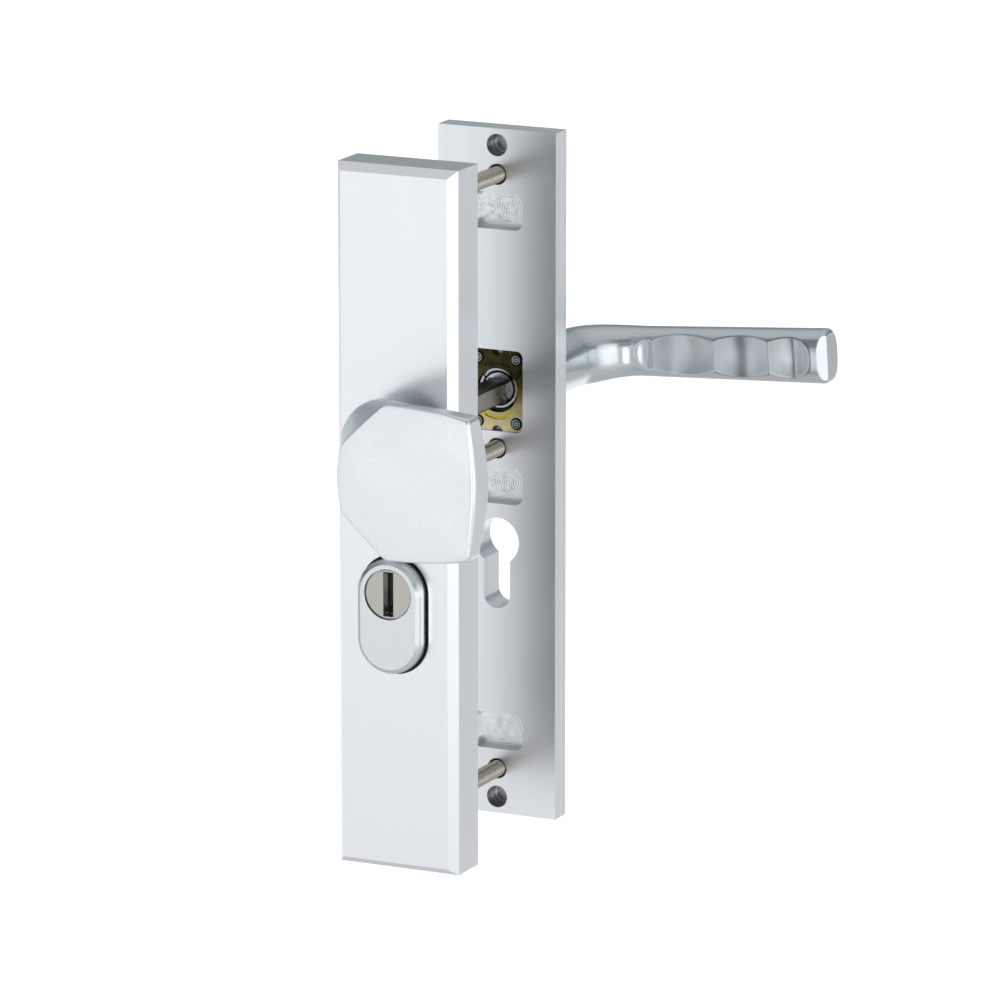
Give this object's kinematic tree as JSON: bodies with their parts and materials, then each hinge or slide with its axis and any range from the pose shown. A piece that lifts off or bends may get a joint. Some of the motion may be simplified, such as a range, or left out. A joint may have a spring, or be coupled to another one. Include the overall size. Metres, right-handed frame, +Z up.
{
  "type": "security door fitting for a profile cylinder",
  "caption": "Long-plate security door fitting with a fixed offset knob outside, a sprung lever inside and a sliding cover over the profile cylinder.",
  "frame": {"origin": "on the spindle axis, on the outer plate's back face, which lies on the outside of the door", "axes": "+Y into the door towards the inner plate, +Z up along the plates, +X to the side the knob and lever point to"},
  "size_m": [0.1193, 0.2336, 0.25],
  "materials": {
    "plate_aluminium": "satin anodised, fine vertical grain",
    "knob_aluminium": "satin anodised",
    "lever_aluminium": "satin anodised",
    "cover_aluminium": "satin anodised",
    "hardened_steel": "hardened, phosphated",
    "zinc_steel": "blue zinc plated",
    "yellow_zinc": "yellow chromated zinc",
    "screw_steel": "nickel plated, threaded",
    "nickel_silver": "turned nickel silver",
    "bush_bronze": "sintered bronze",
    "black_polymer": "black acetal",
    "spring_steel": "spring wire",
    "black_oxide": "black oxide"
  },
  "bodies": {
    "plates": {"outer_plate": "plate_aluminium", "outer_armour_plate": "hardened_steel", "armour_screws": "zinc_steel", "boss_nuts": "zinc_steel", "outer_spindle_bush": "bush_bronze", "knob": "knob_aluminium", "knob_spigot": "zinc_steel", "knob_screw": "black_oxide", "knob_washer": "zinc_steel", "knob_dowel_pins": "spring_steel", "cover_guide": "black_polymer", "inner_plate": "plate_aluminium", "mechanism_plate": "yellow_zinc", "mechanism_rivets": "zinc_steel", "lever_bearing_ring": "zinc_steel", "return_spring": "spring_steel", "fixing_screws": "screw_steel", "cover_springs": "spring_steel"},
    "lever": {"lever_handle": "lever_aluminium", "lever_hub": "zinc_steel", "spindle": "screw_steel", "lever_grub_screw": "black_oxide", "neck_ring": "spring_steel", "spindle_clip": "spring_steel"},
    "cover": {"cover_cap": "cover_aluminium", "cover_insert": "hardened_steel", "cover_flange": "hardened_steel", "cover_screws": "zinc_steel", "disc_circlip": "spring_steel"},
    "disc": {"key_disc": "nickel_silver", "key_guide": "hardened_steel"}
  },
  "joints": [
    {"name": "lever_turn", "type": "hinge", "parent": "plates", "child": "lever", "pos_m": [0, 0.0764, 0], "axis": [0, 1, 0], "range_deg": [0, 45], "deforming": ["return_spring"]},
    {"name": "cover_slide", "type": "slide", "parent": "plates", "child": "cover", "axis": [0, -1, 0], "range_m": [0, 0.004], "deforming": ["cover_springs"]},
    {"name": "key_disc_turn", "type": "hinge", "parent": "cover", "child": "disc", "pos_m": [0, -0.0239, -0.055], "axis": [0, 1, 0], "continuous": true}
  ]
}
